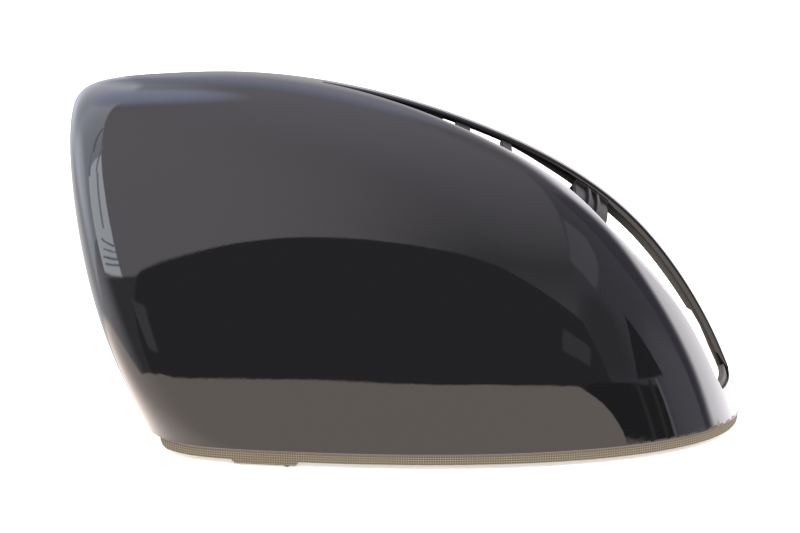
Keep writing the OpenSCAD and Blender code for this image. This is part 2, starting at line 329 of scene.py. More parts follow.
def shell_rows(bowl):
    """Rows from the rim to the pole: depth(u) ahead of the rim, or share(u) on the face."""
    r = bowl.edge
    near, _ = arc_steps(4)
    rows = [("depth", lambda u, v=v: v * r + 0 * u) for v in near[::-1]]
    turned = lambda u: bowl.strip - bowl.roll_at(u, bowl.strip_roll)
    rows += [("depth", lambda u, f=f: r + (turned(u) - r) * f) for f in (0.33, 0.67)]
    fine, _ = arc_steps(ROLL_STEPS)
    rows += [("depth", lambda u, v=v: bowl.strip - v * bowl.roll_at(u, bowl.strip_roll)) for v in fine]
    gap_start = len(rows) - 1
    gaps = 9
    rows += [("depth", lambda u, f=f: bowl.strip + (bowl.slot_front(u) - bowl.strip) * f)
             for f in np.linspace(0, 1, gaps + 1)[1:]]
    gap_end = len(rows) - 1
    rows += [("depth", lambda u, v=v: bowl.slot_front(u) + v * bowl.roll_at(u, bowl.face_roll))
             for v in fine[::-1][1:]]
    count = 74
    least = 1.6 * (r / bowl.h) ** bowl.rise

    def face(u, w):
        start = bowl.reach(u, bowl.slot_front(u) + bowl.face_roll + 0.1)
        return least + (start - least) * math.sin(math.pi / 2 * (1 - w)) ** 3

    rows += [("share", lambda u, w=w: face(u, w)) for w in np.linspace(0, 1, count + 1)[1:]]
    return rows, gap_start, gap_end


def shell_stations(bowl):
    """Stations along the rim, with fine ones on both ends of the slot."""
    r = bowl.edge
    near, _ = arc_steps(4)
    first = SLOT_FROM - near * r / float(bowl.pace(np.array(SLOT_FROM)))
    final = SLOT_TO + near[::-1] * r / float(bowl.pace(np.array(SLOT_TO)))
    u = np.concatenate([
        np.linspace(0, 0.06, 15)[:-1], np.linspace(0.06, first[0], 96)[:-1], first,
        np.linspace(SLOT_FROM, SLOT_TO, 90)[1:-1], final, np.linspace(final[-1], 1, 16)[1:]])
    return u, 14 + 95 + 4, 14 + 95 + 4 + 89


def row_t(bowl, row, u):
    kind, f = row
    return bowl.reach(u, f(u)) if kind == "depth" else f(u)


def where_height(bowl, row, z, side):
    """u at which a row reaches the height z, from the inboard foot (side 0) or from the tip (side 1)."""
    lo, hi = (0.0, 0.5) if side == 0 else (1.0, 0.55)
    for _ in range(50):
        mid = (lo + hi) / 2
        u = np.array(mid)
        if bowl.surface(u, row_t(bowl, row, u))[2] < z:
            lo = mid
        else:
            hi = mid
    return (lo + hi) / 2


def painted_shell(bowl, lacquer, bare):
    rows, gap_start, gap_end = shell_rows(bowl)
    base_u, slot_a, slot_b = shell_stations(bowl)
    r, wall = bowl.edge, bowl.wall
    near, sunk = arc_steps(4)
    n_rows, n_u = len(rows), len(base_u)
    calm_a, calm_b = 0.1, float(SLOT_TO + 2 * r / bowl.pace(np.array(SLOT_TO)))
    outer, inner, smooth = (np.zeros((n_rows, n_u, 3)) for _ in range(3))
    for j, row in enumerate(rows):
        ua, ub = where_height(bowl, row, r, 0), where_height(bowl, row, r, 1)
        local = np.where(base_u < calm_a, ua + base_u * (calm_a - ua) / calm_a, base_u)
        local = np.where(base_u > calm_b, calm_b + (base_u - calm_b) * (ub - calm_b) / (1 - calm_b), local)
        even = ua + (ub - ua) * base_u
        f = np.clip((j - gap_end - ROLL_STEPS) / 30, 0, 1)
        f = f * f * (3 - 2 * f)
        u = (1 - f) * local + f * even
        t = row_t(bowl, row, u)
        p, n = bowl.surface(u, t), bowl.inward(u, t)
        sink = np.zeros(n_u)
        if row[0] == "depth":
            d = row[1](u)
            edge = lambda gap, q: q - np.sqrt(np.maximum(q * q - (q - np.clip(gap, 0, q)) ** 2, 0))
            along = np.maximum(SLOT_FROM - u, u - SLOT_TO) * bowl.pace(u)
            behind, ahead = bowl.strip - d, d - bowl.slot_front(u)
            over = np.maximum(behind, ahead)
            gap = np.where(along <= 0, over, np.where(over <= 0, along, np.hypot(along, over)))
            turn = np.where(behind > ahead, bowl.roll_at(u, bowl.strip_roll), bowl.roll_at(u, bowl.face_roll))
            sink = np.maximum(edge(d, r), edge(gap, np.where(along <= 0, turn, r)))
        outer[j] = p + n * sink[:, None]
        smooth[j] = np.where(sink[:, None] > 0, 0, -n)
        t0 = row_t(bowl, row, base_u)
        q = bowl.surface(base_u, t0) + wall * bowl.inward(base_u, t0)
        q[:, 1] = np.minimum(q[:, 1], bowl.rim_depth(base_u))
        if j == 0:
            q[:, 1] = bowl.rim_depth(base_u)
        q[0, 2] = q[-1, 2] = 0
        inner[j] = q
    outer[0, :, 1] = bowl.rim_depth(base_u)

    def foot(row, z, side):
        u = np.array(where_height(bowl, row, max(z, 1e-6), side))
        t = row_t(bowl, row, u)
        n = bowl.inward(u, t) * (1, 1, 0)
        return bowl.surface(u, t), n / np.linalg.norm(n)

    def pole(z):
        lo, hi = 0.45, 0.7
        for _ in range(50):
            mid = (lo + hi) / 2
            if bowl.rim(np.array(mid))[0] < bowl.pole_x:
                lo = mid
            else:
                hi = mid
        u = np.array(lo)
        t = (max(z, 1e-6) / bowl.rim(u)[1]) ** bowl.rise
        p = bowl.surface(u, t)
        n = bowl.inward(u, t) * (1, 1, 0)
        return p, n / np.linalg.norm(n)

    # Quarter round along the foot: one column for each row on both sides, and one for the pole
    columns = [(rows[j], 0, j) for j in range(n_rows)] + [None] + [(rows[j], 1, j) for j in range(n_rows - 1, -1, -1)]
    strip, down = np.zeros((5, len(columns), 3)), np.zeros((5, len(columns), 3))
    for c, col in enumerate(columns):
        for m in range(5):
            z = r * near[m]
            p, n = pole(z) if col is None else foot(col[0], z, col[1])
            extra = 0
            if col is not None and col[2] < 5:
                extra = r * sunk[4 - col[2]]
            if not extra:
                down[m, c] = n * (sunk[m] - 1) + np.array([0, 0, near[m] - 1])
            p = p + n * max(r * sunk[m], extra)
            if col is not None and col[2] == 0:
                p[1] = bowl.rim_depth(np.array(0.0 if col[1] == 0 else 1.0))
            p[2] = z
            strip[m, c] = p
    for c, col in enumerate(columns):
        if col is not None:
            strip[0, c] = outer[col[2], 0 if col[1] == 0 else -1]
    middle = bowl.surface(np.array(0.5), np.array(1e-12)) + (0, wall, 0)
    middle[2] = 0
    half = 0.5 * outer + 0.5 * inner

    points = np.concatenate([outer.reshape(-1, 3), inner.reshape(-1, 3), strip.reshape(-1, 3), [middle],
                             half.reshape(-1, 3)])
    size = n_rows * n_u
    o = np.arange(size).reshape(n_rows, n_u)
    i = o + size
    s = 2 * size + np.arange(strip.shape[0] * strip.shape[1]).reshape(strip.shape[:2])
    mid = 2 * size + s.size
    h = mid + 1 + o
    pole_top = s[0, n_rows]
    faces, marks = [], []

    def add(new, mark):
        faces.extend(new)
        marks.extend([mark] * len(new))

    in_slot = lambda j, k: gap_start <= j < gap_end and slot_a <= k < slot_b
    for j in range(n_rows - 1):
        add([(o[j, k], o[j, k + 1], o[j + 1, k + 1], o[j + 1, k]) for k in range(n_u - 1) if not in_slot(j, k)], 0)
        add([(i[j, k], i[j, k + 1], i[j + 1, k + 1], i[j + 1, k]) for k in range(n_u - 1) if not in_slot(j, k)], 1)
    add([(o[-1, k], o[-1, k + 1], pole_top) for k in range(n_u - 1)], 0)
    add([(i[-1, k], i[-1, k + 1], mid) for k in range(n_u - 1)], 1)
    for m in range(4):
        add(quads(s[m], s[m + 1]), 0)
    inner_foot = [i[j, 0] for j in range(n_rows)] + [mid] + [i[j, -1] for j in range(n_rows - 1, -1, -1)]
    add(quads(s[4], inner_foot), 1)
    add(quads(o[0], i[0]), 1)
    for side, k in ((0, 0), (len(columns) - 1, n_u - 1)):
        add([(i[0, k], s[m, side], s[m + 1, side]) for m in range(4)], 1)
    ring = ([(gap_start, k) for k in range(slot_a, slot_b)] + [(j, slot_b) for j in range(gap_start, gap_end)]
            + [(gap_end, k) for k in range(slot_b, slot_a, -1)] + [(j, slot_a) for j in range(gap_end, gap_start, -1)])
    ring.append(ring[0])
    add(quads([o[c] for c in ring], [h[c] for c in ring]), 0)
    add(quads([h[c] for c in ring], [i[c] for c in ring]), 0)
    used = np.zeros(len(points), bool)
    used[np.unique(np.concatenate([np.array(f).ravel() for f in faces]))] = True
    number = np.cumsum(used) - 1
    faces = [tuple(int(number[v]) for v in f) for f in faces]
    normals = np.zeros_like(points)
    normals[:size] = smooth.reshape(-1, 3)
    normals[2 * size:2 * size + s.size] = down.reshape(-1, 3)
    return finish_mesh("painted_shell", bowl.placed(points[used]), faces, marks, (lacquer, bare),
                       normals=normals[used])


# ---------------------------------------------------------------- bars that follow an edge


def node(tree, kind, inputs=None, **settings):
    """Adds a node with its settings; inputs maps a socket's name or number to a value or another socket."""
    n = tree.nodes.new(kind)
    for key, value in settings.items():
        setattr(n, key, value)
    for key, value in (inputs or {}).items():
        if isinstance(value, bpy.types.NodeSocket):
            tree.links.new(value, n.inputs[key])
        else:
            n.inputs[key].default_value = value
    return n


def bar_tree():
    """Geometry nodes: a rounded rectangular bar along a line.

    The line's points carry two vectors: the bar's width runs along "inward", and its far side is moved by "lift".
    """
    name = "Bar along an edge"
    if name in bpy.data.node_groups:
        return bpy.data.node_groups[name]
    tree = bpy.data.node_groups.new(name, "GeometryNodeTree")
    face = tree.interface
    face.new_socket("Line", in_out="INPUT", socket_type="NodeSocketGeometry")
    for label in ("Width", "Height", "Corner"):
        s = face.new_socket(label, in_out="INPUT", socket_type="NodeSocketFloat")
        s.subtype = "DISTANCE"
    face.new_socket("Material", in_out="INPUT", socket_type="NodeSocketMaterial")
    face.new_socket("Bar", in_out="OUTPUT", socket_type="NodeSocketGeometry")
    start = node(tree, "NodeGroupInput")
    inward = node(tree, "GeometryNodeInputNamedAttribute", {"Name": "inward"}, data_type="FLOAT_VECTOR")
    line = node(tree, "GeometryNodeMeshToCurve", {"Mesh": start.outputs["Line"]})
    turned = node(tree, "GeometryNodeSetCurveNormal", {"Curve": line.outputs[0], "Normal": inward.outputs[0]},
                  mode="FREE")
    section = node(tree, "GeometryNodeCurvePrimitiveQuadrilateral",
                   {"Width": start.outputs["Width"], "Height": start.outputs["Height"]})
    rounded = node(tree, "GeometryNodeFilletCurve",
                   {"Curve": section.outputs[0], "Radius": start.outputs["Corner"], "Count": 3}, mode="POLY")
    place = node(tree, "GeometryNodeInputPosition")
    across = node(tree, "ShaderNodeSeparateXYZ", {0: place.outputs[0]})
    share = node(tree, "ShaderNodeMath", {0: across.outputs[0], 1: start.outputs["Width"]}, operation="DIVIDE")
    far = node(tree, "ShaderNodeMath", {0: share.outputs[0], 1: 0.5}, operation="ADD")
    marked = node(tree, "GeometryNodeStoreNamedAttribute",
                  {"Geometry": rounded.outputs[0], "Name": "far", "Value": far.outputs[0]}, data_type="FLOAT")
    bar = node(tree, "GeometryNodeCurveToMesh",
               {"Curve": turned.outputs[0], "Profile Curve": marked.outputs[0], "Fill Caps": True})
    side = node(tree, "GeometryNodeInputNamedAttribute", {"Name": "far"}, data_type="FLOAT")
    lift = node(tree, "GeometryNodeInputNamedAttribute", {"Name": "lift"}, data_type="FLOAT_VECTOR")
    shift = node(tree, "ShaderNodeVectorMath", {0: lift.outputs[0], "Scale": side.outputs[0]}, operation="SCALE")
    formed = node(tree, "GeometryNodeSetPosition", {"Geometry": bar.outputs[0], "Offset": shift.outputs[0]})
    whole = node(tree, "GeometryNodeRealizeInstances", {"Geometry": formed.outputs[0]})
    dressed = node(tree, "GeometryNodeSetMaterial",
                   {"Geometry": whole.outputs[0], "Material": start.outputs["Material"]})
    node(tree, "NodeGroupOutput", {"Bar": dressed.outputs[0]})
    return tree


def grow_bar(name, line, inward, lift, width, height, corner, material):
    """Runs the bar tree along a line of placed points and keeps the result as a plain mesh; lift is in metres."""
    mesh = bpy.data.meshes.new(name)
    mesh.from_pydata([tuple(p) for p in line], [(k, k + 1) for k in range(len(line) - 1)], [])
    mesh.attributes.new("inward", "FLOAT_VECTOR", "POINT").data.foreach_set("vector", np.ravel(inward))
    mesh.attributes.new("lift", "FLOAT_VECTOR", "POINT").data.foreach_set("vector", np.ravel(lift))
    obj = bpy.data.objects.new(name, mesh)
    bpy.context.scene.collection.objects.link(obj)
    tree = bar_tree()
    mod = obj.modifiers.new("bar", "NODES")
    mod.node_group = tree
    values = {"Width": width / 1000, "Height": height / 1000, "Corner": corner / 1000, "Material": material}
    for item in tree.interface.items_tree:
        if item.item_type == "SOCKET" and item.in_out == "INPUT" and item.name in values:
            mod[item.identifier] = values[item.name]
    bpy.context.view_layer.update()
    depsgraph = bpy.context.evaluated_depsgraph_get()
    made = bpy.data.meshes.new_from_object(obj.evaluated_get(depsgraph))
    obj.modifiers.clear()
    obj.data = made
    bpy.data.meshes.remove(mesh)
    made.name = name
    bm = bmesh.new()
    bm.from_mesh(made)
    bmesh.ops.remove_doubles(bm, verts=bm.verts, dist=1e-7)
    bmesh.ops.recalc_face_normals(bm, faces=bm.faces)
    bm.to_mesh(made)
    bm.free()
    made.shade_smooth()
    made.set_sharp_from_angle(angle=math.radians(40))
    return obj


def join(name, parts):
    """Joins finished meshes into one piece."""
    bpy.ops.object.select_all(action="DESELECT")
    for p in parts:
        p.select_set(True)
    bpy.context.view_layer.objects.active = parts[0]
    bpy.ops.object.join()
    parts[0].name = parts[0].data.name = name
    return parts[0]


def foot_line(bowl, xs, inset, z):
    """Points and inward normals along the foot of the face, seen from below."""
    def y(x):
        u = np.where(x < bowl.pole_x, 0.0, 1.0)
        t = np.abs((x - bowl.pole_x) / (bowl.rim(u)[0] - bowl.pole_x)) ** bowl.across(u)
        return bowl.surface(u, t)[:, 1]

    e = 0.01
    v = np.stack([y(xs - e) - y(xs + e), np.full_like(xs, 2 * e), np.zeros_like(xs)], -1)
    v /= np.linalg.norm(v, axis=1, keepdims=True)
    line = np.stack([xs, y(xs), np.full_like(xs, z)], -1) + inset * v
    return line, v


def loft(name, loops, edge, materials):
    """Closed bar through loops of four points each, its long edges rounded by the radius edge (mm)."""
    points = np.concatenate(loops)
    faces = [(4 * k + a, 4 * k + (a + 1) % 4, 4 * k + 4 + (a + 1) % 4, 4 * k + 4 + a)
             for k in range(len(loops) - 1) for a in range(4)]
    faces += [(3, 2, 1, 0), tuple(len(points) - 4 + a for a in range(4))]
    bar = finish_mesh(name, points, faces, materials=materials)
    if edge:
        bevel = bar.modifiers.new("edge", "BEVEL")
        bevel.width, bevel.segments, bevel.limit_method = edge / 1000, 2, "ANGLE"
        apply_modifiers(bar)
    return bar


def lower_lip(bowl, slot, bare):
    """Grained lip below the painted edge with rounded ends, its chamfered tab and the gate's mark on it."""
    mm = 1000
    lip, back, thick = slot.lip * mm, slot.lip_back * mm, slot.lip_wall * mm
    sink, end_round = 1.2, 3.0
    # In the photograph the lip stops short of the cover's side, and runs on to the tip
    ends = bowl.rim(np.array(0.0))[0] + 7.0, bowl.rim(np.array(1.0))[0] - 0.6
    mid = (ends[0] + ends[1]) / 2
    xs = mid + (ends[1] - ends[0]) / 2 * np.sin(np.linspace(-math.pi / 2, math.pi / 2, 200))
    line, inward = foot_line(bowl, xs, back + thick / 2, (sink - lip) / 2)
    short = np.maximum(end_round - np.minimum(xs - ends[0], ends[1] - xs), 0)
    rise = end_round - np.sqrt(np.maximum(end_round**2 - short**2, 0))
    down, up = np.zeros_like(line) - (0, 0, 1), np.outer(rise, (0, 0, 1)) / mm
    parts = [grow_bar("lip", bowl.placed(line), down, up, lip + sink, thick, 0.3, bare)]
    drop, half, x0 = slot.tab * mm, slot.tab_length * mm / 2, -slot.tab_x * mm
    gate, gate_half = x0 + half * (2 * 0.825 - 1), 1.1
    xs = np.unique(np.round(np.concatenate([
        x0 + np.array([-half, -half + drop * 0.5, half - drop * 0.5, half]),
        x0 + np.linspace(-half + drop, half - drop, 14), gate + np.linspace(-gate_half, gate_half, 5)]), 6))
    low = -lip - np.minimum(drop, half - np.abs(xs - x0))
    low -= slot.gate * mm * np.maximum(0, 1 - np.abs(xs - gate) / gate_half)
    line, inward = foot_line(bowl, xs, back + thick / 2, 0)
    loops = [bowl.placed([line[k] + side * thick / 2 * inward[k] + (0, 0, z)
                          for side, z in ((-1, 0.2 - lip), (1, 0.2 - lip), (1, low[k]), (-1, low[k]))])
             for k in range(len(xs))]
    return join("lower_lip", parts + [loft("tab", loops, 0.25, (bare,))])


def apply_modifiers(obj):
    depsgraph = bpy.context.evaluated_depsgraph_get()
    mesh = bpy.data.meshes.new_from_object(obj.evaluated_get(depsgraph))
    old = obj.data
    obj.modifiers.clear()
    obj.data = mesh
    bpy.data.meshes.remove(old)


def slot_edges(bowl, slot, lacquer, bare):
    """Bare flange that stiffens the strip, and what the spray reaches through the slot: its ledge and plate."""
    mm = 1000
    thick, tall = slot.flange_wall * mm, slot.flange * mm
    root, rise = 3.0, 0.8
    sink = 1.2
    u = np.union1d(np.linspace(FLANGE_LINE[0, 0], FLANGE_LINE[-1, 0], 110), FLANGE_LINE[:, 0])
    d = bowl.strip - slot.flange_back * mm
    t = bowl.reach(u, d - thick / 2)
    inward = bowl.inward(u, t)
    line = bowl.surface(u, t) + inward * (sink + tall) / 2
    less = tall * (1 - np.interp(u, FLANGE_LINE[:, 0], FLANGE_LINE[:, 1]))
    # The flange's bare plastic is drawn with painted light and shade: dark inboard, lighter near the tip
    parts = [grow_bar("flange", bowl.placed(line), inward, -inward * less[:, None] / mm, tall - sink, thick, 0.3, bare)]

    def band(name, us, corners):
        loops = [bowl.placed([bowl.inside(np.array(v), depth, n) for depth, n in corners(v)]) for v in us]
        return loft(name, loops, 0, (lacquer,))

    def ledge(v):
        front = float(bowl.slot_front(np.array(v)))
        tip = front - min(slot.ledge * mm, (front - bowl.strip) / 2)
        return ((front + root, bowl.wall / 2), (tip, bowl.wall / 2), (tip, bowl.wall + rise),
                (front + root, bowl.wall + rise))

    def plate(v):
        front = float(bowl.slot_front(np.array(v))) + root / 2
        return (front, 1.9), (d, 1.9), (d, 3.5), (front, 3.5)

    parts.append(band("ledge", np.linspace(SLOT_FROM - 0.004, SLOT_TO - 0.004, 150), ledge))
    parts.append(band("plate", np.linspace(SLOT_FROM - 0.004, PLATE_TO, 40), plate))
    return join("slot_edges", parts)


# Webs across the slot: share along the outline, width, and distances inside the surface; the third one
# closes the slot's end, and the last three are the clip plate and its two ribs
WEBS = ((0.6838, 5.7, 1.9, 3.9), (0.7131, 4.1, 1.9, 3.9), (0.957, 2.4, 1.4, 3.9),
        (0.779, 15.3, 3.2, 4.8), (0.7755, 1.3, 1.9, 7), (0.7827, 1.3, 1.9, 7))


def slot_webs(bowl, slot, lacquer, bare):
    """Webs and clip plate that tie the strip to the body, in bare plastic with painted shade that darkens them away
    from the tip.
    """
    parts = []
    for u, width, low, high in WEBS:
        du = width / 2 / float(bowl.pace(np.array(u)))
        start = bowl.strip - slot.flange_back * 1000 - slot.flange_wall * 500
        end = float(bowl.slot_front(np.array(u))) + 1.5
        loops = [bowl.placed([bowl.inside(np.array(u + side * du), d, n)
                              for side, n in ((-1, low), (1, low), (1, high), (-1, high))])
                 for d in np.linspace(start, end, 17)]
        parts.append(loft("web", loops, 0.15 if width < 2 else 0.3, (bare,)))
    # Front wall of the clip, which hangs from the strip and closes the slot to the eye
    u, width = WEBS[3][:2]
    du = width / 2 / float(bowl.pace(np.array(u)))
    front = bowl.strip + 0.6
    loops = [bowl.placed([bowl.inside(np.array(v), front, 1.9), bowl.inside(np.array(v), front, 1.9) + drop,
                          bowl.inside(np.array(v), front, 1.9) + drop - (0, 1.4, 0),
                          bowl.inside(np.array(v), front, 1.9) - (0, 1.4, 0)])
             for v in np.linspace(u - du, u + du, 5)
             for drop in [bowl.inward(np.array(u), np.array(1.0)) * 12]]
    parts.append(loft("clip_wall", loops, 0.3, (bare,)))
    return join("slot_webs", parts)


HOOKS = (0.08, 0.17, 0.37, 0.46, 0.55)


def snap_hooks(bowl, fixings, bare):
    """Tongues that run to the rear from the wall, with their barbs inward."""
    mm = 1000
    width, long, thick = fixings.hook_width * mm, fixings.hook_length * mm, fixings.hook_wall * mm
    gap, end, lead, barb_l, barb_h = 2.0, 1.0, 0.6, 4.0, 1.6
    parts = []
    for u in HOOKS:
        u = np.array(u)
        rx, rz = bowl.rim(u)
        v = bowl.inward(u, np.array(1.0))
        n = np.array([v[0], v[2]]) / math.hypot(v[0], v[2])

        def root(d):
            p = bowl.inside(u, d, bowl.wall / 2)
            return (p[0] - rx) * n[0] + (p[2] - rz) * n[1], p[1] - bowl.rim_depth(u)

        low = root(long)[0] + bowl.wall / 2 + gap
        high = low + thick
        outline = [root(long + 11), (high, -long - 3), (high, -end - barb_l), (high + barb_h, -end - barb_l),
                   (high, -end), (low + lead, -end), (low, -end - lead), (low, -long - 1), root(long + 5)]
        along = np.array([-n[1], 0, n[0]])
        points = [np.array([rx + a * n[0], bowl.rim_depth(u) + b, rz + a * n[1]]) + side * width / 2 * along
                  for side in (-1, 1) for a, b in outline]
        m = len(outline)
        faces = [tuple(range(m)), tuple(range(2 * m - 1, m - 1, -1))]
        faces += [(k, (k + 1) % m, m + (k + 1) % m, m + k) for k in range(m)]
        hook = finish_mesh("hook", bowl.placed(points), faces, materials=(bare,))
        bevel = hook.modifiers.new("edge", "BEVEL")
        bevel.width, bevel.segments, bevel.limit_method = 0.0003, 2, "ANGLE"
        apply_modifiers(hook)
        parts.append(hook)
    return join("snap_hooks", parts)


PINS = ((0.42, 0.28), (0.7, 0.12))
BOSSES = ((0.62, 0.5), (0.83, 0.4))


def post(bowl, place, radius, tall, bore, bore_depth, bare):
    """Round post to the rear on a flared foot; its outline runs from the wall up, over the rim and down the bore."""
    u, t = np.array(place[0]), np.array(place[1])
    p, n = bowl.surface(u, t), bowl.inward(u, t)
    rise, flare, around = 6.0, 1.5, 64
    a = np.linspace(0, 2 * math.pi, around, endpoint=False)
    ring = np.stack([np.cos(a), np.zeros(around), np.sin(a)], -1)
    tilted = ring - (ring @ n)[:, None] * n
    tilted /= np.linalg.norm(tilted, axis=1, keepdims=True)
    rings = []
    for f in np.linspace(0, 1, 9):
        base = p + n * bowl.wall / 2 + tilted * (radius + flare)
        top = p + (0, rise, 0) + ring * radius
        bend = 1 - (1 - f) ** 2
        q = base * (1 - f) + top * f
        q += (ring * radius - tilted * (radius + flare)) * (bend - f) * 0.8
        rings.append(q)
    tip = 0.5
    rings += [p + (0, rise + tall - tip, 0) + ring * radius, p + (0, rise + tall, 0) + ring * (radius - tip)]
    if bore:
        rings += [p + (0, rise + tall, 0) + ring * (bore + 0.3), p + (0, rise + tall - 0.3, 0) + ring * bore,
                  p + (0, rise + tall - bore_depth, 0) + ring * bore]
    points = np.concatenate(rings)
    faces = []
    for k in range(len(rings) - 1):
        faces += [(k * around + i, k * around + (i + 1) % around, (k + 1) * around + (i + 1) % around,
                   (k + 1) * around + i) for i in range(around)]
    faces += [tuple(range(around)), tuple(len(points) - 1 - i for i in range(around))]
    return finish_mesh("post", bowl.placed(points), faces, materials=(bare,))


def posts(bowl, fixings, bare):
    mm = 1000
    parts = [post(bowl, at, fixings.pin * mm / 2, fixings.pin_length * mm, 0, 0, bare) for at in PINS]
    depth = fixings.pilot_depth * mm
    parts += [post(bowl, at, fixings.boss * mm / 2, depth + 3, fixings.pilot * mm / 2, depth, bare) for at in BOSSES]
    return join("pins_and_bosses", parts)


# ---------------------------------------------------------------- finishes


def linear(code):
    """sRGB hex to linear RGBA."""
    c = [int(code[k:k + 2], 16) / 255 for k in (1, 3, 5)]
    return tuple(v / 12.92 if v <= 0.04045 else ((v + 0.055) / 1.055) ** 2.4 for v in c) + (1,)


def new_material(name):
    m = bpy.data.materials.new(name)
    m.use_nodes = True
    return m, m.node_tree, m.node_tree.nodes["Principled BSDF"]


def black_lacquer(look):
    """Black lacquer under sprayed clear coat: deep, mirror-like, with the faint waviness of a sprayed film."""
    m, tree, shader = new_material("black_lacquer_clear_coat")
    shader.inputs["Base Color"].default_value = linear(look.lacquer)
    shader.inputs["Roughness"].default_value = 0.3
    shader.inputs["IOR"].default_value = 1.5
    # The pigment layer has the binder of the clear coat over it, so only the coat's outer face reflects
    shader.inputs["Specular IOR Level"].default_value = 0.0
    shader.inputs["Coat Weight"].default_value = 1.0
    shader.inputs["Coat Roughness"].default_value = 0.015
    shader.inputs["Coat IOR"].default_value = 1.6
    place = node(tree, "ShaderNodeTexCoord")
    # Orange peel of a sprayed film: waves about 2.5 mm long, a few micrometres high
    peel = node(tree, "ShaderNodeTexNoise", {"Vector": place.outputs["Object"], "Scale": 400.0, "Detail": 1.0})
    bump = node(tree, "ShaderNodeBump", {"Height": peel.outputs[0], "Strength": 0.006, "Distance": 0.0005})
    tree.links.new(bump.outputs[0], shader.inputs["Coat Normal"])
    return m


def moulded_plastic(name, tone):
    """ABS as moulded in a spark-eroded tool, with a fine even grain; tone is a colour or makes a socket of it."""
    m, tree, shader = new_material(name)
    place = node(tree, "ShaderNodeTexCoord").outputs["Object"]
    # Grain pits are about 0.15 mm apart; drawn at 0.4 mm so that they show in the render
    grain = node(tree, "ShaderNodeTexNoise", {"Vector": place, "Scale": 2500.0, "Detail": 2.0})
    if callable(tone):
        tree.links.new(tone(tree, place), shader.inputs["Base Color"])
    else:
        shader.inputs["Base Color"].default_value = linear(tone)
    rough = node(tree, "ShaderNodeMapRange", {"Value": grain.outputs[0], "To Min": 0.5, "To Max": 0.72})
    tree.links.new(rough.outputs[0], shader.inputs["Roughness"])
    shader.inputs["IOR"].default_value = 1.52
    # The pits shade one another, so the sheen is weaker than that of smooth plastic
    shader.inputs["Specular IOR Level"].default_value = 0.05
    return m, tree, shader, place, grain.outputs[0]


def inner_plastic(look):
    """Black ABS of the inside, out of the paint's reach."""
    m, tree, shader, place, grain = moulded_plastic("black_moulded_abs", look.shade_and_dark_abs)
    bump = node(tree, "ShaderNodeBump", {"Height": grain, "Strength": 0.25, "Distance": 0.0002})
    tree.links.new(bump.outputs[0], shader.inputs["Normal"])
    return m


def bare_plastic(look):
    """Unpainted ABS; the strip's upper part is drawn dark and its tip end lighter, painted shade and light for how the
    light falls on it.
    """
    def tone(tree, place):
        along = node(tree, "ShaderNodeSeparateXYZ", {0: place})
        # Painted light and shade: the dark tone turns into the bare one over the last 25 mm before the tip
        share = node(tree, "ShaderNodeMapRange", {"Value": along.outputs["X"], "From Min": 0.07, "From Max": 0.096},
                     interpolation_type="SMOOTHSTEP")
        return node(tree, "ShaderNodeMix", {"Factor": share.outputs[0], 6: linear(look.shade_and_dark_abs), 7: linear(look.bare)},
                    data_type="RGBA").outputs[2]

    m, tree, shader, place, grain = moulded_plastic("bare_moulded_abs", tone)
    bump = node(tree, "ShaderNodeBump", {"Height": grain, "Strength": 0.25, "Distance": 0.0002})
    tree.links.new(bump.outputs[0], shader.inputs["Normal"])
    return m


def grained_plastic(look):
    """Unpainted ABS with the square grain of the lip, 0.85 mm from line to line."""
    lines = []

    def tone(tree, place):
        parts = node(tree, "ShaderNodeSeparateXYZ", {0: place})
        waves = []
        for axis in ("X", "Z"):
            turn = node(tree, "ShaderNodeMath", {0: parts.outputs[axis], 1: 2 * math.pi / 0.00085},
                        operation="MULTIPLY")
            waves.append(node(tree, "ShaderNodeMath", {0: turn.outputs[0]}, operation="SINE").outputs[0])
        top = node(tree, "ShaderNodeMath", {0: waves[0], 1: waves[1]}, operation="MAXIMUM")
        lines.append(top.outputs[0])
        share = node(tree, "ShaderNodeMapRange", {"Value": top.outputs[0], "From Min": 0.2, "From Max": 1.0})
        # This colour holds the lip's own grey and a painted warm tint of light bounced from the floor
        base = linear(look.lip)
        dark, light = (tuple(c * f for c in base[:3]) + (1,) for f in (0.55, 1.9))
        return node(tree, "ShaderNodeMix", {"Factor": share.outputs[0], 6: dark, 7: light}, data_type="RGBA").outputs[2]

    m, tree, shader, place, grain = moulded_plastic("grained_moulded_abs", tone)
    bump = node(tree, "ShaderNodeBump", {"Height": lines[0], "Strength": 0.4, "Distance": 0.0001})
    tree.links.new(bump.outputs[0], shader.inputs["Normal"])
    return m


def pale_floor(look):
    """Matte painted board."""
    m, tree, shader = new_material("pale_matte_board")
    shader.inputs["Base Color"].default_value = linear(look.floor)
    shader.inputs["Roughness"].default_value = 0.9
    return m


def finish(kind):
    names = {"lacquer": "black_lacquer_clear_coat", "bare": "bare_moulded_abs", "lip": "grained_moulded_abs"}
    names["inner"] = "black_moulded_abs"
    makers = {"lacquer": black_lacquer, "bare": bare_plastic, "lip": grained_plastic, "inner": inner_plastic}
    return bpy.data.materials.get(names[kind]) or makers[kind](bpy.context.scene.cover_look)


# ---------------------------------------------------------------- operators


def bowl_now():
    scene = bpy.context.scene
    return Bowl(scene.cover_body, scene.cover_slot)


class COVER_OT_shell(bpy.types.Operator):
    """Builds the painted bowl with its slot"""

    bl_idname = "cover.shell"
    bl_label = "Painted shell"

    def execute(self, context):
        settle(painted_shell(bowl_now(), finish("lacquer"), finish("inner")))
        return {"FINISHED"}


class COVER_OT_lip(bpy.types.Operator):
    """Builds the grained lip with its locating tab"""

    bl_idname = "cover.lip"
    bl_label = "Lower lip"

    def execute(self, context):
        settle(lower_lip(bowl_now(), context.scene.cover_slot, finish("lip")))
        return {"FINISHED"}


